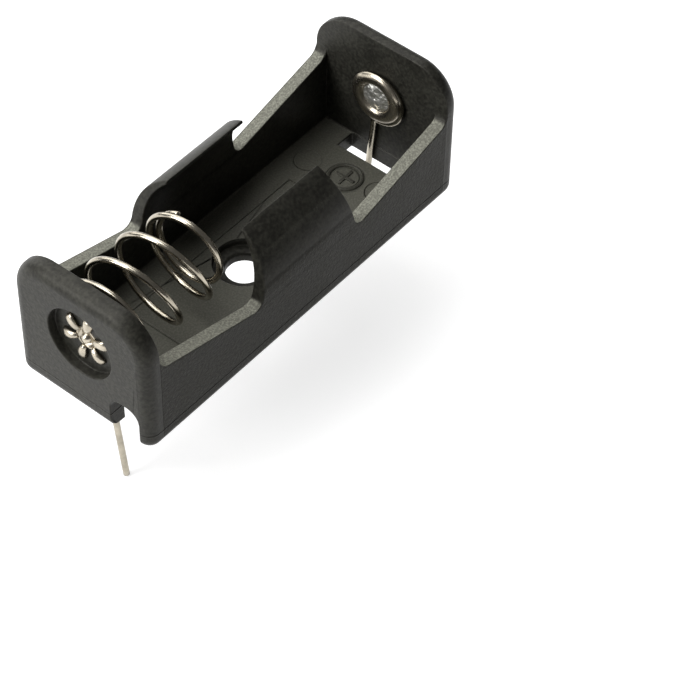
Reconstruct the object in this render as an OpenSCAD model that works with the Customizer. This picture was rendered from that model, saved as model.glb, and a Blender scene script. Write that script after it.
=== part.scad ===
// Open-topped holder for one cylindrical cell, for soldering to a circuit board.
// A moulded tray with D-shaped end walls and two curved spring clips. Two rivets hold
// the contacts: a coil spring at the negative end and a wire ring at the positive end.
// X runs along the cell towards its positive end, Z is up, and the origin is the centre
// of the underside, which meets the board. Each piece is drawn with x = 0 at the outside
// of the negative end and then moved to the centre. Units are millimetres.

/* [Cell] */
// Diameter of the cell
cell_d = 12.0; // [11.6:0.1:12.3]
// Diametral room between the cell and the side walls
cell_clear = 0.4; // [0.2:0.1:0.8]

/* [Tray] */
// Length over both end walls
body_l = 40.7; // [40:0.1:48]
// Thickness of each side wall
wall_t = 1.3; // [1:0.1:1.8]
// Thickness of each end wall
end_t = 1.7; // [1.5:0.1:2.2]
// Thickness of the floor
floor_t = 1.7; // [1.5:0.1:2.2]
// Height of the two end walls
body_h = 14.4; // [14:0.1:17]
// Radius of the rounded outer edges of ends and underside
edge_r = 1.2; // [0.6:0.1:1.4]
// Radius of the top corners of the end walls
corner_r = 3.9; // [2.5:0.1:5]

/* [Side walls] */
// Height of the side walls at their lowest point
wall_low_h = 6.2; // [5:0.1:7]
// Height of the side walls where they reach the end walls
wall_end_h = 9.4; // [7.5:0.1:10]
// Inside fillet where a side wall climbs the end wall
wall_fillet = 1.2; // [0.6:0.1:1.6]
// Length of the clips along the tray, at their tips
clip_l = 9.7; // [8:0.1:11]
// Lean of the clip ends from upright, in degrees
clip_lean = 12; // [0:1:18]
// Inside fillet at the foot of each clip end
clip_fillet = 1.0; // [0.6:0.1:1.5]
// Height at which the outside of the clips starts to curve inwards
clip_bend_h = 7.2; // [6.9:0.1:7.4]
// Outside radius of the curved part of the clips
clip_r = 6.2; // [6.1:0.1:6.8]
// Height of the clip tips
clip_tip_h = 12.7; // [11.5:0.1:13]

/* [Floor openings] */
// Width along X of the two slots that the terminals pass through
slot_w = 2.05; // [1.6:0.05:2.6]
// Distance of each slot's positive-Y end from the centre line
slot_left = 3.1; // [1.5:0.1:4]
// Distance of each slot's negative-Y end from the centre line
slot_right = 6.0; // [5.2:0.1:6.2]
// Height of the notch in each end wall, from the underside
notch_h = 4.1; // [3:0.1:4.4]
// Distance of each notch's inner side from the centre line
notch_in = 3.05; // [2.9:0.05:3.3]
// Distance of each notch's outer side from the centre line
notch_out = 6.25; // [5.8:0.05:6.3]
// Corner radius at the top of each notch
notch_r = 1.3; // [0.4:0.1:1.4]

/* [Mounting hole] */
// Diameter of the screw hole
screw_d = 3.4; // [3:0.1:3.8]
// Diameter of the recess for the screw head
head_d = 5.6; // [5:0.1:6.5]
// Depth of the recess for the screw head
head_h = 0.7; // [0.4:0.1:1]
// Chamfer round the hole in the floor of that recess
screw_chamfer = 0.2; // [0.1:0.05:0.3]

/* [Contacts] */
// Height of the contact axis above the underside
contact_h = 8.45; // [8.2:0.05:8.7]
// Diameter of the shallow recess outside each end wall
recess_d = 7.0; // [6.2:0.1:7.4]
// Depth of the recess outside each end wall
recess_h = 0.9; // [0.6:0.1:1]
// Diameter of the rivet shank
shank_d = 2.4; // [2:0.1:2.6]
// Diameter of the rivet head inside the tray
rivet_head_d = 5.4; // [4.8:0.1:6]
// Diameter over the split and curled rivet end
star_d = 5.2; // [4.4:0.1:5.6]
// Sheet thickness of the rivets
rivet_t = 0.28; // [0.2:0.02:0.36]
// Number of petals that each rivet end is split into
petals = 6; // [5:1:8]
// Depth of the dish in the rivet head
dish_h = 0.5; // [0.3:0.05:0.55]
// Diameter of the contact wire
wire_d = 0.6; // [0.5:0.05:0.7]
// Length of the pins from the underside to their tips
pin_l = 8.6; // [3:0.1:10]
// Lean of the negative pin from upright, in degrees
neg_lean = 7; // [0:1:8]
// Lean of the positive pin from upright, in degrees
pos_lean = 5; // [0:1:8]
// Distance by which the positive wire's ring hangs below the rivet's axis
ring_drop = 0.45; // [0:0.05:0.5]

/* [Spring] */
// Outside diameter of the spring
spring_d = 8.9; // [8:0.1:9.4]
// Free length of the spring from the end wall
spring_l = 12.1; // [10:0.1:13]
// Outside diameter of the last coil, which bears on the cell
tip_d = 7.4; // [6.8:0.1:7.6]
// Slant of the open coils: how far their lower side lies ahead of the middle
coil_slant = 0.8; // [0:0.1:1]
// Height by which the coils lie above the rivet's axis
coil_lift = 0.6; // [0:0.1:0.8]

/* [Hidden] */
$fn = 64;
inner_w = cell_d + cell_clear;
body_w = inner_w + 2 * wall_t;
cell_h = floor_t + cell_d / 2;
mid_x = body_l / 2;
eps = 0.01;
clip_reach = clip_l / 2 + (clip_tip_h - wall_low_h) * tan(clip_lean);
// both wires: facets, the bend between loop and pin, and where the pins start
sides = 12;
step = 12;
bend_r = 0.55;
pin_gap = 0.35;
pin_root = 0.3;
root_share = 0.93;
// loop of the spring's wire round the rivet shank, then the coils
loop_x = end_t + wire_d / 2;
loop_r = shank_d / 2 + wire_d / 2 + 0.35;
loop_low = contact_h - loop_r;
coil_r = (spring_d - wire_d) / 2;
tip_r = (tip_d - wire_d) / 2;
tip_x = end_t + spring_l - wire_d / 2;
// ring of the positive wire under the rivet head
ring_x = body_l - loop_x;
ring_r = 2.45;
ring_y = -0.15;
ring_h = contact_h - ring_drop;
ring_low = ring_h - ring_r;

// ---------- helpers ----------

module from_centre() {
    translate([-mid_x, 0, 0]) children();
}

function unit(v) = v / norm(v);

// tangent length of a fillet of radius r in the corner a-b-c
function tangent(a, b, c, r) =
    let (u = unit(a - b), w = unit(c - b), h = acos(u * w) / 2) r / tan(h);

// polygon whose convex corners are rounded by the radii in rs
module rounded(pts, rs) {
    n = len(pts);
    flat_pts = [for (i = [0 : n - 1])
        let (a = pts[(i + n - 1) % n], b = pts[i], c = pts[(i + 1) % n], r = rs[i])
        let (t = r > 0 ? tangent(a, b, c, r) : 0)
        for (q = r > 0 ? [b + unit(a - b) * t, b + unit(c - b) * t] : [b]) q];
    polygon(flat_pts);
    for (i = [0 : n - 1])
        if (rs[i] > 0) {
            a = pts[(i + n - 1) % n];
            b = pts[i];
            c = pts[(i + 1) % n];
            m = unit(unit(a - b) + unit(c - b));
            t = tangent(a, b, c, rs[i]);
            translate(b + m * norm([t, rs[i]])) circle(r = rs[i]);
        }
}

// extrude a profile drawn in Y-Z along X, from x0 to x1
module along_x(x0, x1) {
    translate([x0, 0, 0]) rotate([90, 0, 90]) linear_extrude(height = x1 - x0) children();
}

// extrude a profile drawn in X-Z along Y, over the whole width
module across_y(w) {
    translate([0, w / 2, 0]) rotate([90, 0, 0]) linear_extrude(height = w) children();
}

// ---------- moulded body ----------

// D-shaped cross-section of the block, drawn in Y-Z and drawn in by d all round
module block_section(d) {
    hw = body_w / 2 - d;
    br = max(edge_r - d, 0);
    tr = corner_r - d;
    rounded([[-hw, d], [hw, d], [hw, body_h - d], [-hw, body_h - d]], [br, br, tr, tr]);
}

// rounding along the rim of one end, centred on the plane x = 0
module rim() {
    hw = body_w / 2 - edge_r;
    top = body_h - corner_r;
    for (s = [-1, 1]) {
        translate([0, s * hw, edge_r]) sphere(r = edge_r);
        translate([0, s * hw, edge_r]) cylinder(r = edge_r, h = top - edge_r);
        translate([0, s * (body_w / 2 - corner_r), top])
            rotate([90, 0, s > 0 ? 90 : -90])
                rotate_extrude(angle = 90)
                    translate([corner_r - edge_r, 0]) circle(r = edge_r);
    }
    translate([0, -hw, edge_r]) rotate([-90, 0, 0]) cylinder(r = edge_r, h = 2 * hw);
    translate([0, corner_r - body_w / 2, body_h - edge_r])
        rotate([-90, 0, 0]) cylinder(r = edge_r, h = body_w - 2 * corner_r);
}

// solid block with every outer edge rounded
module block() {
    along_x(0, body_l) block_section(edge_r);
    along_x(edge_r, body_l - edge_r) block_section(0);
    translate([edge_r, 0, 0]) rim();
    translate([body_l - edge_r, 0, 0]) rim();
}

// cross-section of the clip on the positive-Y side, drawn in Y-Z
module clip_section() {
    arc_y = body_w / 2 - clip_r;
    tip_y = arc_y + sqrt(pow(clip_r, 2) - pow(clip_tip_h - clip_bend_h, 2));
    difference() {
        union() {
            intersection() {
                translate([arc_y, clip_bend_h]) circle(r = clip_r);
                translate([tip_y, clip_bend_h]) square([body_w / 2, body_h]);
            }
            translate([inner_w / 2, cell_h / 2])
                square([wall_t, clip_bend_h - cell_h / 2 + eps]);
        }
        translate([0, cell_h]) circle(r = inner_w / 2);
        translate([0, floor_t]) square([inner_w / 2, cell_h - floor_t]);
    }
}

// space cut away above the side walls, from the negative end wall to the clips, in X-Z
module scoop() {
    hi = body_h + 1;
    foot = mid_x - clip_reach;
    top = foot + (hi - wall_low_h) * tan(clip_lean);
    rounded(
        [[end_t, hi], [end_t, wall_end_h], [foot, wall_low_h], [top, hi]],
        [0, wall_fillet, clip_fillet, 0]);
}

// terminal slot through the floor and notch in the end wall, at the negative end
module terminal_opening() {
    translate([end_t, -slot_right, -1]) cube([slot_w, slot_right + slot_left, floor_t + 2]);
    along_x(-1, end_t + eps)
        rounded(
            [[-notch_out, -1], [-notch_in, -1], [-notch_in, notch_h], [-notch_out, notch_h]],
            [0, 0, notch_r, notch_r]);
}

// rivet hole and outside recess, at the negative end
module rivet_opening() {
    translate([-1, 0, contact_h]) rotate([0, 90, 0]) cylinder(d = shank_d, h = end_t + 2);
    translate([-1, 0, contact_h]) rotate([0, 90, 0]) cylinder(d = recess_d, h = recess_h + 1);
}

module at_both_ends() {
    children();
    translate([body_l, 0, 0]) mirror([1, 0, 0]) children();
}

module holder_body() color([0.08, 0.08, 0.08]) from_centre()
    difference() {
        union() {
            difference() {
                block();
                translate([end_t, -inner_w / 2, floor_t])
                    cube([body_l - 2 * end_t, inner_w, body_h]);
                translate([mid_x - clip_reach, -body_w, clip_bend_h])
                    cube([2 * clip_reach, 2 * body_w, body_h]);
            }
            for (s = [0, 1])
                mirror([0, s, 0])
                    along_x(mid_x - clip_reach, mid_x + clip_reach) clip_section();
        }
        at_both_ends() across_y(body_w + 2) scoop();
        at_both_ends() terminal_opening();
        at_both_ends() rivet_opening();
        translate([mid_x, 0, -1]) cylinder(d = screw_d, h = floor_t + 2);
        translate([mid_x, 0, floor_t - head_h]) cylinder(d = head_d, h = head_h + 1);
        translate([mid_x, 0, floor_t - head_h - screw_chamfer])
            cylinder(d1 = screw_d, d2 = screw_d + 4 * screw_chamfer, h = 2 * screw_chamfer);
    }

// ---------- rivets ----------

// split rivet, drawn with its axis on X: the head faces +X and bears on a wire of
// thickness wire_d, the petals are curled over against the recess floor behind it
module rivet() {
    head_r = rivet_head_d / 2;
    bead_r = (rivet_t + dish_h) / 2;
    disc_r = head_r / 2;
    grip = end_t - recess_h + wire_d;
    bore_r = shank_d / 2 - rivet_t;
    core_r = 0.85 * bore_r;
    // head: rolled rim round a dished centre
    translate([end_t + wire_d, 0, 0]) rotate([0, 90, 0])
        rotate_extrude()
            union() {
                translate([head_r - bead_r, bead_r]) circle(r = bead_r);
                polygon([[0, 0], [head_r - bead_r, 0], [head_r - bead_r, bead_r],
                    [disc_r, rivet_t], [0, rivet_t]]);
            }
    // shank, through the wire loop and the wall, with the domed end of its bore
    translate([recess_h, 0, 0]) rotate([0, 90, 0]) {
        difference() {
            translate([0, 0, -eps]) cylinder(d = shank_d, h = grip + rivet_t / 2 + eps);
            translate([0, 0, -1]) cylinder(r = bore_r, h = grip - wire_d + 1);
        }
        translate([0, 0, grip - wire_d]) sphere(r = core_r);
    }
    // petals: a rolled flange cut into a star
    span = (star_d / 2 - bore_r) / 2;
    crown = 0.7 * span;
    roll_r = (span * span + crown * crown) / (2 * crown);
    translate([recess_h, 0, 0]) rotate([0, -90, 0])
        difference() {
            rotate_extrude()
                difference() {
                    translate([bore_r + span, crown - roll_r]) circle(r = roll_r);
                    translate([bore_r + span, crown - roll_r]) circle(r = roll_r - rivet_t);
                    translate([0, -star_d]) square([star_d, star_d]);
                }
            for (i = [0 : petals - 1])
                rotate([0, 0, (i + 0.5) * 360 / petals - 17])
                    translate([0, 0, -1]) linear_extrude(height = 4)
                        polygon([[shank_d / 2, 0], [star_d, 0.42 * star_d],
                            [star_d, -0.42 * star_d]]);
        }
}

module negative_rivet() color([0.75, 0.75, 0.73]) from_centre()
    translate([0, 0, contact_h]) rivet();

module positive_rivet() color([0.75, 0.75, 0.73]) from_centre()
    translate([body_l, 0, contact_h]) mirror([1, 0, 0]) rivet();

// ---------- wires ----------

// heights and distances of the point where a pin's straight run meets its bend
function bend_z(low, lean) = low - bend_r * (1 - sin(lean));
function foot_y(low, lean) = bend_r * cos(lean) + bend_z(low, lean) * tan(lean);

// point on a leaning pin, at distance s below the underside; side is the side that
// it leans to
function pin_point(x, y, side, lean, s) = [x, y + side * s * sin(lean), -s * cos(lean)];

// bend from the top of a pin that leans to side, into a loop whose lowest point is
// at y and low
function bend(x, y, side, low, lean) =
    [for (i = [0 : 5])
        let (a = lean + (90 - lean) * i / 5)
        [x, y + side * bend_r * cos(a), low - bend_r * (1 - sin(a))]];

neg_pin_y = -foot_y(loop_low, neg_lean);
pos_pin_y = ring_y + foot_y(ring_low, pos_lean);

// ring under the head of the positive rivet, and the run down to its pin
ring_path = concat(
    [pin_point(ring_x, pos_pin_y, 1, pos_lean, pin_gap + pin_root)],
    bend(ring_x, ring_y, 1, ring_low, pos_lean),
    [for (a = [step : step : 324])
        [ring_x, ring_y - ring_r * sin(a), ring_h - ring_r * cos(a)]]);

// share of the spring's rise reached at turn n: closed, open, then closed again
function ramp(n, a, b, c, d) =
    n < a ? 0 :
    n < b ? pow(n - a, 2) / (2 * (b - a)) :
    n < c ? n - (a + b) / 2 :
    n < d ? c - (a + b) / 2 + (n - c) - pow(n - c, 2) / (2 * (d - c)) :
    (c + d) / 2 - (a + b) / 2;

function smooth(u) = let (v = min(max(u, 0), 1)) v * v * (3 - 2 * v);

turns = 3.95;
function opened(n) = ramp(n, -0.45, 0.35, 2.5, 3.3);

// the wire first steps over its own pin, then the coils open
function spring_x(n) =
    loop_x + wire_d * smooth((n + 0.8) / 0.22)
    + (tip_x - loop_x - wire_d) * opened(n) / opened(turns);

function spring_r(n) =
    loop_r + (coil_r - loop_r) * smooth((n + 1.2) / 0.9) + (tip_r - coil_r) * smooth((n - 2.4) / 0.9);

function slant(n) = coil_slant * smooth((n - 0.1) / 0.7) * (1 - smooth((n - 2.5) / 0.9));

// centre line of the spring at turn n, which starts at the bottom for n = -1.5
function spring_point(n) =
    let (r = spring_r(n), t = 360 * n)
    [spring_x(n) - slant(n) * cos(t), -r * sin(t), contact_h + coil_lift * smooth(n) + r * cos(t)];

spring_path = concat(
    [pin_point(loop_x, neg_pin_y, -1, neg_lean, pin_gap + pin_root)],
    bend(loop_x, 0, -1, loop_low, neg_lean),
    [for (n = [-1.5 + step / 360 : step / 360 : turns + eps]) spring_point(n)]);

// rotation-minimising frames along the path, by projecting the last normal
function frames(p, i, last, acc) =
    i >= len(p) ? acc :
    let (
        t = unit(p[min(i + 1, len(p) - 1)] - p[max(i - 1, 0)]),
        u = unit(last - t * (last * t)),
        v = cross(t, u)
    )
    frames(p, i + 1, u, concat(acc, [[u, v]]));

// round wire along a list of points
module wire(p, first, d, root_d) {
    f = frames(p, 0, first, []);
    n = len(p);
    rings = [for (i = [0 : n - 1], k = [0 : sides - 1])
        let (a = 360 * k / sides, r = (i == 0 ? root_d : d) / 2)
        p[i] + f[i][0] * r * cos(a) + f[i][1] * r * sin(a)];
    quads = [for (i = [0 : n - 2], k = [0 : sides - 1])
        let (a = i * sides + k, b = i * sides + (k + 1) % sides)
        [b, a, a + sides, b + sides]];
    start = [[for (k = [0 : sides - 1]) k]];
    stop = [[for (k = [sides - 1 : -1 : 0]) (n - 1) * sides + k]];
    polyhedron(rings, concat(quads, start, stop), convexity = 10);
}

// round pin that goes through the board, up to just below the underside
module pin(x, y, side, lean) {
    translate([x, y, 0]) rotate([side * lean, 0, 0])
        translate([0, 0, -pin_l]) cylinder(d = wire_d, h = pin_l - pin_gap);
}

module negative_spring() color([0.72, 0.72, 0.7]) from_centre() {
    pin(loop_x, neg_pin_y, -1, neg_lean);
    wire(spring_path, [1, 0, 0], wire_d, wire_d * root_share);
}

module positive_wire() color([0.72, 0.72, 0.7]) from_centre() {
    pin(ring_x, pos_pin_y, 1, pos_lean);
    wire(ring_path, [1, 0, 0], wire_d, wire_d * root_share);
}

holder_body();
negative_spring();
negative_rivet();
positive_rivet();
positive_wire();
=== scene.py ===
"""Looks of the open-topped cell holder: black moulded plastic, nickel-plated wires and rivets.

Blender's objects are in metres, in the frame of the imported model: x along the cell towards
its positive end, z up, origin in the centre of the underside. Sizes are written in
millimetres, with x measured from the outside of the negative end, and at() turns them into
points of that frame.
"""
import math

import bmesh
import bpy
from mathutils import Matrix, Vector


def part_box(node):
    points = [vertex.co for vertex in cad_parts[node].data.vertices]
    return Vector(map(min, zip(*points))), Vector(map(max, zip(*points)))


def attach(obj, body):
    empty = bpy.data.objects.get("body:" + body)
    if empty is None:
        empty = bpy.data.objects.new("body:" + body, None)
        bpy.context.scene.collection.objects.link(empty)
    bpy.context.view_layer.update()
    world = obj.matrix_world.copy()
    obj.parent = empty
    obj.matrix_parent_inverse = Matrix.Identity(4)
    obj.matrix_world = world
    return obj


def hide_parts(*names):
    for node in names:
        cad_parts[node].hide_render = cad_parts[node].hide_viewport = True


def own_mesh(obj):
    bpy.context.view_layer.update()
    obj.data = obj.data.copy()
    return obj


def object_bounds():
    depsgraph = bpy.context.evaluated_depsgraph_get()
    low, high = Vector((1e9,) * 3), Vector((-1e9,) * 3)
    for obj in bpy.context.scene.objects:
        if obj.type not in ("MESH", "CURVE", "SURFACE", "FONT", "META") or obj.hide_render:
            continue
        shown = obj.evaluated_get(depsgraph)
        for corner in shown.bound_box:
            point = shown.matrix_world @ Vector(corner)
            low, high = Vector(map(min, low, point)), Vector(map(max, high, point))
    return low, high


MM = 0.001

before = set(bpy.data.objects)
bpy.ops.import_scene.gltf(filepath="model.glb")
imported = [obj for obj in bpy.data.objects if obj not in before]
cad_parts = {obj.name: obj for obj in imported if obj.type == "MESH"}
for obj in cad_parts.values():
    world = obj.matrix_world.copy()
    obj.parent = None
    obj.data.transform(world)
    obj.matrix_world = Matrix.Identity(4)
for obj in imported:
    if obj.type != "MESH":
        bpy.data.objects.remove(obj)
cad_box = [list(corner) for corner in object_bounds()]
scene = bpy.context.scene
HALF_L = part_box("holder_body")[1].x / MM

# ---------- sizes that repeat the part's source, in millimetres ----------

FLOOR_Z = 1.7
SIDE_Y = 7.5
INNER_Y = 6.2
CONTACT_H = 8.45
WIRE_R = 0.3
BEND_R = 0.55
PIN_L = 8.6
LOOP_X = 2.0
LOOP_R = 1.85
LOOP_LOW = CONTACT_H - LOOP_R
NEG_LEAN = math.radians(7)
COIL_R = 4.15
TIP_R = 3.4
TIP_X = 13.5
COIL_SLANT = 0.8
COIL_LIFT = 0.6
TURNS = 3.95
LOOP_START = -1.5
STEP_OVER = 0.6
RING_X = 38.7
RING_R = 2.45
RING_Y = -0.15
RING_H = 8.0
RING_LOW = RING_H - RING_R
POS_LEAN = math.radians(5)
# where the spring changes, as (first turn, number of turns)
STEPS_OVER = (-0.8, 0.22)
WIDENS = (-1.2, 0.9)
NARROWS = (2.4, 0.9)
SLANTS = (0.1, 0.7)
STRAIGHTENS = (2.5, 0.9)
# turns at which the coils start to open, are open, start to close and are closed
OPENING = (-0.45, 0.35, 2.5, 3.3)


# ---------- mesh helpers ----------

# chamfer at a wire's end, as a share of its radius
TIP_CHAMFER = 0.25


def at(x, y, z):
    """Point in the frame, in metres, from millimetres with x from the negative end."""
    return Vector((x - HALF_L, y, z)) * MM


def add_piece(name, verts, faces, body):
    """Smooth-shaded object of that mesh, riding on a body."""
    mesh = bpy.data.meshes.new(name)
    mesh.from_pydata(verts, [], faces)
    mesh.validate()
    mesh.polygons.foreach_set("use_smooth", [True] * len(mesh.polygons))
    piece = bpy.data.objects.new(name, mesh)
    scene.collection.objects.link(piece)
    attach(piece, body)
    return piece


def join(parts):
    """One mesh from several (vertices, faces)."""
    verts, faces = [], []
    for more_verts, more_faces in parts:
        base = len(verts)
        verts += more_verts
        faces += [tuple(base + i for i in face) for face in more_faces]
    return verts, faces


def path_normals(path, first, closed):
    """Two directions across the path at each point, turning as little as they can."""
    count, last, normals = len(path), first, []
    for i in range(count):
        after = path[(i + 1) % count] if closed else path[min(i + 1, count - 1)]
        before = path[i - 1] if closed or i else path[0]
        tangent = (after - before).normalized()
        last = (last - tangent * last.dot(tangent)).normalized()
        normals.append((last, tangent.cross(last)))
    return normals


def tube(path, first, radius, sides=20, flat=1.0, closed=False):
    """Vertices and faces of a round wire along path, its open ends chamfered.

    first is a direction across the path at its start; flat squeezes the section in the
    other direction across it.
    """
    rows = [(point, u, v, 1.0)
            for point, (u, v) in zip(path, path_normals(path, first, closed))]
    if not closed:
        for end, other in ((0, 1), (-1, -2)):
            point, u, v, _ = rows[end]
            inward = (path[other] - path[end]).normalized() * TIP_CHAMFER * radius
            shoulder = (point + inward, u, v, 1.0)
            tip = (point, u, v, 1 - TIP_CHAMFER)
            rows[end:end + 1 or None] = [tip, shoulder] if end == 0 else [shoulder, tip]
    verts = [point + (u * math.cos(a) + v * math.sin(a) * flat) * radius * share
             for point, u, v, share in rows
             for a in (2 * math.pi * k / sides for k in range(sides))]
    count = len(rows)
    faces = [(i * sides + k, i * sides + (k + 1) % sides,
              (i + 1) % count * sides + (k + 1) % sides, (i + 1) % count * sides + k)
             for i in range(count if closed else count - 1) for k in range(sides)]
    if not closed:
        faces.append(tuple(range(sides - 1, -1, -1)))
        faces.append(tuple(range((count - 1) * sides, count * sides)))
    return verts, faces


# ---------- wires, along the same lines as in the part's source ----------

def ease(u):
    """From 0 to 1, level at both ends."""
    u = min(max(u, 0.0), 1.0)
    return u * u * (3 - 2 * u)


def over(n, span):
    """Eased share of a span (first turn, number of turns) that is done at turn n."""
    return ease((n - span[0]) / span[1])


def pin_and_bend(x, y, side, low, lean, steps=24, bend_steps=8):
    """Leaning pin from its tip upwards, then the bend into a loop whose lowest point is low."""
    bend_z = low - BEND_R * (1 - math.sin(lean))
    foot_y = y + side * (BEND_R * math.cos(lean) + bend_z * math.tan(lean))
    top = bend_z / math.cos(lean)
    run = [-PIN_L + (PIN_L + top) * i / steps for i in range(steps)]
    points = [at(x, foot_y - side * s * math.sin(lean), s * math.cos(lean)) for s in run]
    for i in range(bend_steps + 1):
        a = lean + (math.pi / 2 - lean) * i / bend_steps
        points.append(at(x, y + side * BEND_R * math.cos(a), low - BEND_R * (1 - math.sin(a))))
    return points


def opened(n):
    """How far the coils have opened by turn n, in open turns."""
    start, full, slow, stop = OPENING
    if n < start:
        return 0.0
    if n < full:
        return (n - start) ** 2 / (2 * (full - start))
    if n < slow:
        return n - (start + full) / 2
    rise = slow - (start + full) / 2
    if n < stop:
        return rise + (n - slow) - (n - slow) ** 2 / (2 * (stop - slow))
    return rise + (stop - slow) / 2


def spring_point(n):
    """Centre line of the spring at turn n; the loop's bottom is at LOOP_START."""
    x = LOOP_X + STEP_OVER * over(n, STEPS_OVER)
    x += (TIP_X - LOOP_X - STEP_OVER) * opened(n) / opened(TURNS)
    r = LOOP_R + (COIL_R - LOOP_R) * over(n, WIDENS)
    r += (TIP_R - COIL_R) * over(n, NARROWS)
    slant = COIL_SLANT * over(n, SLANTS) * (1 - over(n, STRAIGHTENS))
    t = 2 * math.pi * n
    return at(x - slant * math.cos(t), -r * math.sin(t),
              CONTACT_H + COIL_LIFT * ease(n) + r * math.cos(t))


def turns_between(start, stop, per_turn=72):
    """Evenly spaced values of n, both ends included."""
    count = round((stop - start) * per_turn)
    return [start + (stop - start) * i / count for i in range(count + 1)]


# the spring is two pieces: its foot rides on the holder, and its coils, from where they open, ride
# on the contact spring's body
SPLIT = OPENING[0]
ACROSS = Vector((1, 0, 0))
RING_STEP = math.radians(5)
RING_STEPS = 64
foot_path = pin_and_bend(LOOP_X, 0, -1, LOOP_LOW, NEG_LEAN)
foot_path += [spring_point(n) for n in turns_between(LOOP_START, SPLIT)[1:]]
foot = add_piece("spring_foot", *tube(foot_path, ACROSS, WIRE_R * MM), "holder")
coil_path = [spring_point(n) for n in turns_between(SPLIT, TURNS)]
coils = add_piece("spring_coils", *tube(coil_path, ACROSS, WIRE_R * MM), "contact_spring")
ring_path = pin_and_bend(RING_X, RING_Y, 1, RING_LOW, POS_LEAN)
ring_path += [at(RING_X, RING_Y - RING_R * math.sin(a), RING_H - RING_R * math.cos(a))
              for a in (RING_STEP * k for k in range(1, RING_STEPS + 1))]
ring = add_piece("positive_ring_and_pin", *tube(ring_path, ACROSS, WIRE_R * MM), "holder")
for piece, node in ((foot, "negative_spring"), (coils, "negative_spring"), (ring, "positive_wire")):
    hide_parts(node)

# ---------- rivets: a dished head inside, a split and curled end outside ----------

END_T = 1.7
RECESS_H = 0.9
SHANK_R = 1.2
BORE_R = 0.92
BORE_END_X = END_T - 0.4
BORE_LIP = 0.1
EDGE_STEP = 0.06
HEAD_R = 2.7
RIM_HALF_W = 0.62
RIM_H = 0.38
RIM_UNDER = 0.05
DISC_R = 1.42
DISC_H = 0.24
DISC_FALL = 0.18
DISC_STEPS = 14
DIMPLE_R = 0.22
DIMPLE_H = 0.05
DOME_X = END_T - 0.35
DOME_H = 0.85
DOME_R = 0.62
STAR_R = 2.6
PETALS = 6
PETAL_TURN = math.radians(-17)
PETAL_H = 0.5
PETAL_FROM = 0.96
PETAL_SWEEP = 0.98
PETAL_T = 0.24
PETAL_ROOT_HALF_W = 0.24
PETAL_WIDENS = 0.26
PETAL_CROWN = 0.2
PETAL_TIP_FROM = 0.72
PETAL_TIP_L = 0.29
HEAD_X = END_T + 2 * WIRE_R


def arc(cx, cr, rx, rr, start, stop, count):
    """Points (x, radius) on an ellipse, at angles from the x axis in degrees."""
    return [(cx + rx * math.cos(a), cr + rr * math.sin(a))
            for a in (math.radians(start + (stop - start) * i / count) for i in range(count + 1))]


def rivet_profile():
    """Points (x, radius) from the middle of the head round to the middle of the bore's end."""
    disc = []
    for i in range(DISC_STEPS + 1):
        r = DISC_R * i / DISC_STEPS
        dimple = DIMPLE_H * (1 - ease(r / DIMPLE_R))
        disc.append((HEAD_X + DISC_H - dimple - DISC_FALL * (r / DISC_R) ** 2, r))
    rim = arc(HEAD_X, HEAD_R - RIM_HALF_W, RIM_H, RIM_HALF_W, -78, 90, 20)
    under = HEAD_X - RIM_UNDER
    shank = [(under, HEAD_R - EDGE_STEP), (under, SHANK_R), (RECESS_H, SHANK_R),
             (RECESS_H - EDGE_STEP, BORE_R + BORE_LIP), (RECESS_H, BORE_R), (BORE_END_X, BORE_R)]
    dome = arc(DOME_X, 0, DOME_H, DOME_R, 100, 180, 10)
    return disc + rim + shank + dome


def lathe(profile, place, sides=64):
    """Surface turned from points (x, radius); place puts a point (x, y, z) in the frame."""
    verts = [place(x, r * math.cos(a), r * math.sin(a)) for x, r in profile
             for a in (2 * math.pi * k / sides for k in range(sides))]
    faces = [(i * sides + k, i * sides + (k + 1) % sides,
              (i + 1) * sides + (k + 1) % sides, (i + 1) * sides + k)
             for i in range(len(profile) - 1) for k in range(sides)]
    return verts, faces


def petal(turn, place, along=14, across=8):
    """One curled petal, as a closed shell: a strip that rises from the bore and bends back."""
    shells = [[], []]
    for i in range(along + 1):
        s = i / along
        a = math.pi * (PETAL_FROM - PETAL_SWEEP * s)
        r = (BORE_R + STAR_R) / 2 + (STAR_R - BORE_R) / 2 * math.cos(a)
        h = PETAL_H * max(math.sin(a), 0) ** 0.8
        narrowing = max(0, (s - PETAL_TIP_FROM) / PETAL_TIP_L)
        half = PETAL_ROOT_HALF_W + PETAL_WIDENS * ease(1.5 * s)
        half *= math.sqrt(max(1 - narrowing ** 2, 0.02))
        for j in range(across + 1):
            u = 2 * j / across - 1
            w, drop = half * u, PETAL_CROWN * u * u
            for shell, sink in zip(shells, (0, PETAL_T)):
                reach = r - sink * 0.8 * math.cos(a)
                shell.append(place(RECESS_H - max(h - drop, -0.02) + sink * math.sin(a),
                                   reach * math.cos(turn) - w * math.sin(turn),
                                   reach * math.sin(turn) + w * math.cos(turn)))
    row, count = across + 1, (along + 1) * (across + 1)
    faces = []
    for i in range(along):
        for j in range(across):
            a = i * row + j
            faces.append((a, a + 1, a + row + 1, a + row))
            faces.append((count + a, count + a + row, count + a + row + 1, count + a + 1))
    rim = list(range(across))
    rim += [i * row + across for i in range(along)]
    rim += [along * row + j for j in range(across, 0, -1)]
    rim += [i * row for i in range(along, 0, -1)]
    for a, b in zip(rim, rim[1:] + rim[:1]):
        faces.append((a, b, count + b, count + a))
    return shells[0] + shells[1], faces


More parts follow.
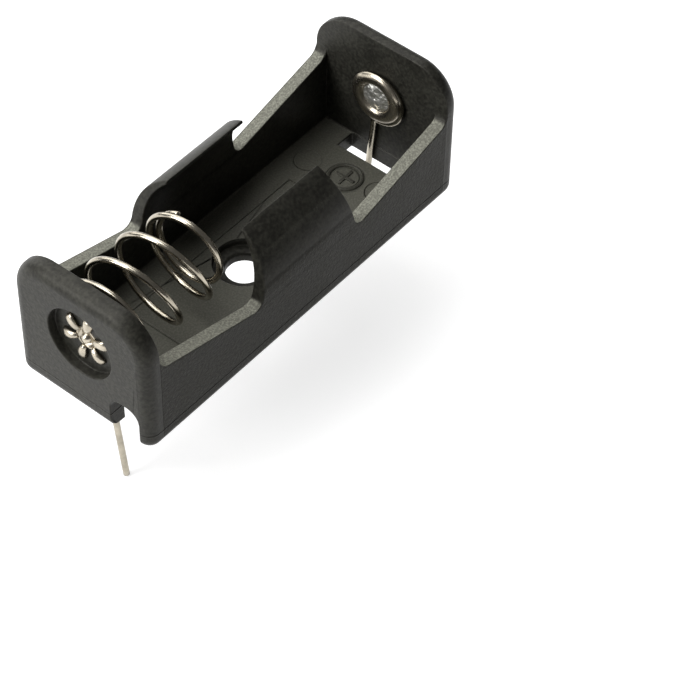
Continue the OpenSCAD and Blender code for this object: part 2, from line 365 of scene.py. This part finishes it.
def add_rivet(name, node, place):
    """Split rivet that stands for a CAD node; place puts a point (x, y, z) in the frame."""
    parts = [lathe(rivet_profile(), place)]
    parts += [petal(PETAL_TURN + 2 * math.pi * k / PETALS, place) for k in range(PETALS)]
    piece = add_piece(name, *join(parts), "holder")
    mesh = bmesh.new()
    mesh.from_mesh(piece.data)
    bmesh.ops.remove_doubles(mesh, verts=mesh.verts, dist=0.0005 * MM)
    bmesh.ops.recalc_face_normals(mesh, faces=mesh.faces)
    mesh.to_mesh(piece.data)
    mesh.free()
    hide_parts(node)
    return piece


rivets = [
    add_rivet("split_rivet_negative", "negative_rivet",
              lambda x, y, z: at(x, y, CONTACT_H + z)),
    add_rivet("split_rivet_positive", "positive_rivet",
              lambda x, y, z: at(2 * HALF_L - x, y, CONTACT_H + z))]

# ---------- raised marks on the tray's floor ----------

MARK_R = 1.55
MARK_HALF_W = 0.17
MARK_FLAT = 1.2
MARK_GROOVE = 2.2 * MARK_HALF_W
ARM = 1.0
POSITIVE_MARK = (34.1, -0.1)
NEGATIVE_MARK = (6.4, 0.0)
INSERT_X = (9.6, 30.7)
INSERT_HALF_W = 3.6
INSERT_LINE = 0.10


def ridge(path, half_w, closed=False):
    """Rounded ridge that stands out of the floor by half of its section."""
    return tube(path, Vector((0, 0, 1)).cross(path[1] - path[0]).normalized(),
                half_w * MM, sides=12, flat=MARK_FLAT, closed=closed)


def circle_path(x, y, r, z, count=72):
    """Points round a circle that lies flat."""
    return [at(x + r * math.cos(a), y + r * math.sin(a), z)
            for a in (2 * math.pi * k / count for k in range(count))]


def line_path(x0, y0, x1, y1, z, count=6):
    """Points along a level line, both ends included."""
    return [at(x0 + (x1 - x0) * i / count, y0 + (y1 - y0) * i / count, z)
            for i in range(count + 1)]


def add_mark(name, centre, arms):
    """Ring with a bar along each of the directions in arms."""
    x, y = centre
    parts = [ridge(circle_path(x, y, MARK_R, FLOOR_Z), MARK_HALF_W, closed=True)]
    for dx, dy in arms:
        parts.append(ridge(line_path(x - dx * ARM, y - dy * ARM, x + dx * ARM, y + dy * ARM,
                                     FLOOR_Z), MARK_HALF_W))
    return add_piece(name, *join(parts), "holder")


def add_insert_line():
    """Fine line that the mould's insert left round the middle of the floor."""
    (x0, x1), w = INSERT_X, INSERT_HALF_W
    parts = [ridge(line_path(*ends, FLOOR_Z), INSERT_LINE)
             for ends in ((x0, w, x1, w), (x0, -w, x1, -w), (x0, -w, x0, w), (x1, -w, x1, w))]
    return add_piece("insert_line", *join(parts), "holder")


marks = [add_mark("positive_mark", POSITIVE_MARK, ((1, 0), (0, 1))),
         add_mark("negative_mark", NEGATIVE_MARK, ((0, 1),)),
         add_insert_line()]


# ---------- materials ----------

class Nodes:
    """Short way to write a node tree: each call adds a node and returns its output."""

    def __init__(self, name):
        self.material = bpy.data.materials.new(name)
        self.material.use_nodes = True
        self.tree = self.material.node_tree
        self.shader = self.tree.nodes["Principled BSDF"]

    def put(self, socket, value):
        """Links an output to the socket, or sets a number or colour on it."""
        if isinstance(value, bpy.types.NodeSocket):
            self.tree.links.new(value, socket)
        else:
            socket.default_value = value

    def add(self, kind, output, **inputs):
        node = self.tree.nodes.new("ShaderNode" + kind)
        for key, value in inputs.items():
            self.put(node.inputs[key], value)
        return node.outputs[output]

    def math(self, operation, a, b=0.0):
        node = self.tree.nodes.new("ShaderNodeMath")
        node.operation = operation
        self.put(node.inputs[0], a)
        self.put(node.inputs[1], b)
        return node.outputs[0]

    def product(self, first, *others):
        for other in others:
            first = self.math("MULTIPLY", first, other)
        return first

    def parts(self, vector):
        """x, y and z of a vector."""
        node = self.tree.nodes.new("ShaderNodeSeparateXYZ")
        self.put(node.inputs[0], vector)
        return node.outputs[0], node.outputs[1], node.outputs[2]

    def step(self, value, start, stop):
        """0 below start, 1 above stop, smooth between; the other way round where start > stop."""
        node = self.tree.nodes.new("ShaderNodeMapRange")
        node.interpolation_type = "SMOOTHSTEP"
        for socket, number in zip(node.inputs, (value, start, stop, 0.0, 1.0)):
            self.put(socket, number)
        return node.outputs[0]

    def distance(self, x, y, cx, cy):
        """Distance of (x, y) from the point (cx, cy)."""
        dx, dy = self.math("SUBTRACT", x, cx), self.math("SUBTRACT", y, cy)
        return self.math("SQRT", self.math("ADD", self.product(dx, dx), self.product(dy, dy)))

    def mix(self, share, a, b):
        node = self.tree.nodes.new("ShaderNodeMix")
        self.put(node.inputs[0], share)
        self.put(node.inputs[2], a)
        self.put(node.inputs[3], b)
        return node.outputs[0]

    def mix_colour(self, share, a, b):
        node = self.tree.nodes.new("ShaderNodeMix")
        node.data_type = "RGBA"
        self.put(node.inputs[0], share)
        self.put(node.inputs[6], a)
        self.put(node.inputs[7], b)
        return node.outputs[2]

    def noise(self, place, size, detail=2.0):
        """Noise whose features are about size millimetres."""
        return self.add("TexNoise", "Fac", Vector=place, Scale=1 / (size * MM), Detail=detail)

    def bump(self, height, depth, normal=None):
        """Relief of that depth in millimetres, where height goes from 0 to 1."""
        return self.add("Bump", "Normal", Strength=1.0, Distance=depth * MM, Height=height,
                        **({"Normal": normal} if normal else {}))


PLASTIC = (0.0125, 0.0121, 0.0100, 1)
PLASTIC_DULL = (0.0320, 0.0315, 0.0255, 1)
# cut tops: partly the cut's own pale grain, partly painted light on faces turned up
PLASTIC_CUT_GRAIN_AND_PAINTED_LIGHT = (0.230, 0.230, 0.190, 1)
# painted light: the up-facing floor painted paler than the walls of the same plastic
PLASTIC_FLOOR_PAINTED_LIGHT = (0.095, 0.094, 0.077, 1)
SPECULAR = 0.2
SPECULAR_TINT = (1.0, 0.97, 0.89, 1)
CUT_LOW = 6.0
CUT_HIGH = 10.9
GRAIN_END = 1.69
GRAIN_LOW = 0.96
EJECTOR_R = 1.3
EJECTOR_MARKS = ((33.6, 3.9), (34.6, -3.6), (7.4, 3.9), (7.4, -3.6))
GRAIN_SIZE = 0.34
FINE_SIZE = 0.17
PATCH_SIZE = 2.6
GRAIN_DEPTH = 0.09
LINE_DEPTH = 0.03
SUNK_DEPTH = 0.15
ROUGH_SMOOTH = 0.44
ROUGH_GRAIN = 0.56
ROUGH_CUT = 0.62
ROUGH_SPREAD = 0.14


def plastic_colour(n, noises, cut, floor):
    """Nearly black with dull patches; the floor and the cut tops are painted paler and speckled:
    the floor's paleness is painted light from above, the cut tops' partly their own pale grain and
    partly painted light.
    """
    grain, fine, cloud = noises
    patches = n.math("ADD", n.product(cloud, 0.35), n.product(grain, 0.65))
    speckle = n.step(fine, 0.40, 0.66)
    colour = n.mix_colour(n.step(patches, 0.36, 0.68), PLASTIC, PLASTIC_DULL)
    # painted light: the floor, marks included, painted paler where light falls from above
    colour = n.mix_colour(n.product(floor, n.mix(speckle, 0.7, 1.0)), colour, PLASTIC_FLOOR_PAINTED_LIGHT)
    # the cut tops painted pale: partly their own grain, partly painted light
    return n.mix_colour(n.product(cut, n.mix(speckle, 0.55, 1.0)), colour, PLASTIC_CUT_GRAIN_AND_PAINTED_LIGHT)


def floor_level(n, x, y):
    """1, but 0 in the ejector pins' round marks and in a groove beside each mark's ring."""
    level = 1.0
    for cx, cy in EJECTOR_MARKS:
        off_centre = n.distance(x, y, cx - HALF_L, cy)
        level = n.product(level, n.step(off_centre, EJECTOR_R - 0.08, EJECTOR_R + 0.08))
    for cx, cy in (POSITIVE_MARK, NEGATIVE_MARK):
        off_centre = n.distance(x, y, cx - HALF_L, cy)
        off_ring = n.math("ABSOLUTE", n.math("SUBTRACT", off_centre, MARK_R))
        level = n.product(level, n.step(off_ring, MARK_HALF_W, MARK_GROOVE))
    return level


def plastic():
    """Black moulded plastic: grain on the side walls, smoother ends, dull tops; the floor and the
    tops are painted paler, as painted light from above.
    """
    n = Nodes("black_plastic")
    coords = n.tree.nodes.new("ShaderNodeTexCoord")
    place, normal = coords.outputs["Object"], coords.outputs["Normal"]
    x, y, z = (n.math("DIVIDE", length, MM) for length in n.parts(place))
    ax, ay = n.math("ABSOLUTE", x), n.math("ABSOLUTE", y)
    grain = n.noise(place, GRAIN_SIZE, detail=3.0)
    fine = n.noise(place, FINE_SIZE)
    cloud = n.noise(place, PATCH_SIZE, detail=3.0)

    # where the grain is: outer faces of the side walls, up to a fine line before the ends
    outer = n.step(ay, SIDE_Y - 0.15, SIDE_Y - 0.05)
    edge = n.math("MINIMUM", n.math("SUBTRACT", HALF_L - GRAIN_END, ax),
                  n.math("SUBTRACT", z, GRAIN_LOW))
    field = n.product(outer, n.step(edge, -0.03, 0.03))
    # tops of the side walls between the ends and the clips, dull, and painted pale: partly their
    # own pale grain, partly painted light on the up-facing faces
    upwards = n.step(n.parts(normal)[2], 0.55, 0.8)
    cut = n.product(upwards, n.step(ay, INNER_Y - 0.05, INNER_Y + 0.05),
                    n.step(z, CUT_LOW - 0.1, CUT_LOW + 0.1),
                    n.step(z, CUT_HIGH + 0.3, CUT_HIGH - 0.3))
    # the floor between the walls, marks included, painted paler: painted light from above on the
    # up-facing floor, with a real speckle
    end_x = HALF_L - END_T
    from_floor = n.step(z, FLOOR_Z - 0.03, FLOOR_Z - 0.01)
    floor = n.product(n.step(ay, INNER_Y + 0.1, INNER_Y - 0.1),
                      n.step(ax, end_x + 0.1, end_x - 0.1),
                      n.step(z, FLOOR_Z + 0.25, FLOOR_Z + 0.1), from_floor)
    on_floor = n.product(from_floor, n.step(z, FLOOR_Z + 0.2, FLOOR_Z + 0.1))

    n.put(n.shader.inputs["Base Color"], plastic_colour(n, (grain, fine, cloud), cut, floor))
    rough = n.mix(cut, n.mix(field, ROUGH_SMOOTH, ROUGH_GRAIN), ROUGH_CUT)
    uneven = n.product(n.math("SUBTRACT", cloud, 0.5), ROUGH_SPREAD)
    n.put(n.shader.inputs["Roughness"], n.math("ADD", rough, uneven))
    n.shader.inputs["Specular IOR Level"].default_value = SPECULAR
    n.shader.inputs["Specular Tint"].default_value = SPECULAR_TINT

    share = n.math("ADD", n.mix(field, 0.25, 1.0), n.product(cut, 1.2))
    relief = n.bump(n.product(n.mix(0.35, grain, fine), share), GRAIN_DEPTH)
    relief = n.bump(n.product(outer, n.step(edge, -0.05, 0.05)), LINE_DEPTH, relief)
    relief = n.bump(n.product(on_floor, floor_level(n, x, y)), SUNK_DEPTH, relief)
    n.put(n.shader.inputs["Normal"], relief)
    return n.material


NICKEL_PATCH = 1.1
NICKEL_DARK = 0.72
NICKEL_SPREAD = 0.25


def nickel(name, colour, roughness, size, depth):
    """Nickel plate with dull patches, and uneven by depth over size, in millimetres."""
    n = Nodes(name)
    place = n.tree.nodes.new("ShaderNodeTexCoord").outputs["Object"]
    cloud = n.noise(place, NICKEL_PATCH, detail=4.0)
    uneven = n.noise(place, size)
    dark = tuple(NICKEL_DARK * c for c in colour) + (1,)
    n.put(n.shader.inputs["Base Color"],
          n.mix_colour(n.step(cloud, 0.35, 0.7), colour + (1,), dark))
    n.shader.inputs["Metallic"].default_value = 1
    spread = n.product(n.math("SUBTRACT", cloud, 0.4), NICKEL_SPREAD)
    n.put(n.shader.inputs["Roughness"], n.math("ADD", roughness, spread))
    n.put(n.shader.inputs["Normal"], n.bump(uneven, depth))
    return n.material


def dress(piece, material):
    """That material alone on all of the piece."""
    piece.data.materials.clear()
    piece.data.materials.append(material)


def soften(piece, width, angle=35):
    """Small radius, in millimetres, along every edge of a CAD node sharper than angle."""
    weld = piece.modifiers.new("weld", "WELD")
    weld.merge_threshold = 0.001 * MM
    bevel = piece.modifiers.new("soft_edges", "BEVEL")
    bevel.width = width * MM
    bevel.segments = 3
    bevel.limit_method = "ANGLE"
    bevel.angle_limit = math.radians(angle)
    bevel.use_clamp_overlap = False


black = plastic()
wire_metal = nickel("wire_nickel", (0.46, 0.42, 0.34), 0.2, 0.3, 0.008)
rivet_metal = nickel("rivet_nickel", (0.52, 0.47, 0.38), 0.26, 0.3, 0.012)
# the head's middle: uneven pressed nickel whose near-white colour is a painted highlight
disc_metal_painted_highlight = nickel("pressed_nickel_painted_highlight", (0.97, 0.96, 0.90), 0.4, 0.9, 0.42)
dress(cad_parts["holder_body"], black)
soften(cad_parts["holder_body"], 0.12)
for piece in marks:
    dress(piece, black)
for piece in (foot, coils, ring):
    dress(piece, wire_metal)
# the middle of each rivet's head is more uneven than the rest, and painted near white: a painted
# highlight
head_x = HALF_L - HEAD_X
for piece in rivets:
    dress(piece, rivet_metal)
    piece.data.materials.append(disc_metal_painted_highlight)
    for face in piece.data.polygons:
        centre = face.center / MM
        off_axis = math.hypot(centre.y, centre.z - CONTACT_H)
        face.material_index = int(abs(centre.x) < head_x and off_axis < DISC_R)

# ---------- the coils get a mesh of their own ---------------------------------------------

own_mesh(coils)

# ---------- stage, light and camera ----------

FLOOR_COLOUR = 0.55
FLOOR_GLOW = 0.7
WORLD = 0.12
# place in metres, size in metres and power in watts of the soft lamps, all aimed at the origin
LAMPS = {
    "top": ((-0.1, 0.14, 0.36), 0.3, 1.3),
    "back": ((0.05, 0.35, 0.2), 0.3, 0.75),
    "right": ((0.24, 0.18, 0.3), 0.25, 0.45),
    "left": ((-0.33, 0.16, 0.17), 0.2, 1.2),
}


def add_floor(z, reach=2.0):
    """Pale floor that cameras, glossy and clear surfaces see nearly white, shadow included."""
    mesh = bpy.data.meshes.new("floor")
    corners = [(-reach, -reach, z), (reach, -reach, z), (reach, reach, z), (-reach, reach, z)]
    mesh.from_pydata(corners, [], [(0, 1, 2, 3)])
    floor = bpy.data.objects.new("floor", mesh)
    scene.collection.objects.link(floor)
    n = Nodes("pale_floor")
    n.shader.inputs["Base Color"].default_value = (FLOOR_COLOUR,) * 3 + (1,)
    n.shader.inputs["Roughness"].default_value = 0.9
    path = n.tree.nodes.new("ShaderNodeLightPath")
    seen = n.math("MAXIMUM", path.outputs["Is Camera Ray"], path.outputs["Is Glossy Ray"])
    seen = n.math("MAXIMUM", seen, path.outputs["Is Transmission Ray"])
    n.shader.inputs["Emission Color"].default_value = (1, 1, 1, 1)
    n.put(n.shader.inputs["Emission Strength"], n.product(seen, FLOOR_GLOW))
    mesh.materials.append(n.material)


def add_light(name, place, size, power):
    """Square soft lamp aimed at the origin."""
    light = bpy.data.lights.new(name, "AREA")
    light.size = size
    light.energy = power
    lamp = bpy.data.objects.new(name, light)
    lamp.location = place
    lamp.rotation_euler = (-Vector(place)).to_track_quat("-Z", "Y").to_euler()
    scene.collection.objects.link(lamp)


def add_world():
    world = bpy.data.worlds.new("studio")
    scene.world = world
    world.use_nodes = True
    background = world.node_tree.nodes["Background"]
    background.inputs["Color"].default_value = (1, 1, 1, 1)
    background.inputs["Strength"].default_value = WORLD


def add_camera(target, azimuth, elevation, roll, distance, lens):
    """Camera at a distance from the target, seen under those angles."""
    camera = bpy.data.cameras.new("camera")
    camera.lens = lens
    camera.sensor_width = 36
    camera.clip_start = 0.01
    camera.clip_end = 20
    eye = bpy.data.objects.new("camera", camera)
    back = Vector((math.sin(azimuth) * math.cos(elevation),
                   -math.cos(azimuth) * math.cos(elevation),
                   math.sin(elevation)))
    turn = (-back).to_track_quat("-Z", "Y").to_matrix() @ Matrix.Rotation(roll, 3, "Z")
    eye.matrix_world = Matrix.Translation(Vector(target) + back * distance) @ turn.to_4x4()
    scene.collection.objects.link(eye)
    scene.camera = eye


add_floor(cad_box[0][2])
add_world()
for lamp_name, (lamp_place, lamp_size, lamp_power) in LAMPS.items():
    add_light(lamp_name, lamp_place, lamp_size, lamp_power)
add_camera(
    target=(-0.67 * MM, -12.58 * MM, -0.09 * MM),
    azimuth=math.radians(-51.61),
    elevation=math.radians(48.80),
    roll=math.radians(1.45),
    distance=224.2 * MM,
    lens=134.35)

scene.view_settings.view_transform = "Standard"
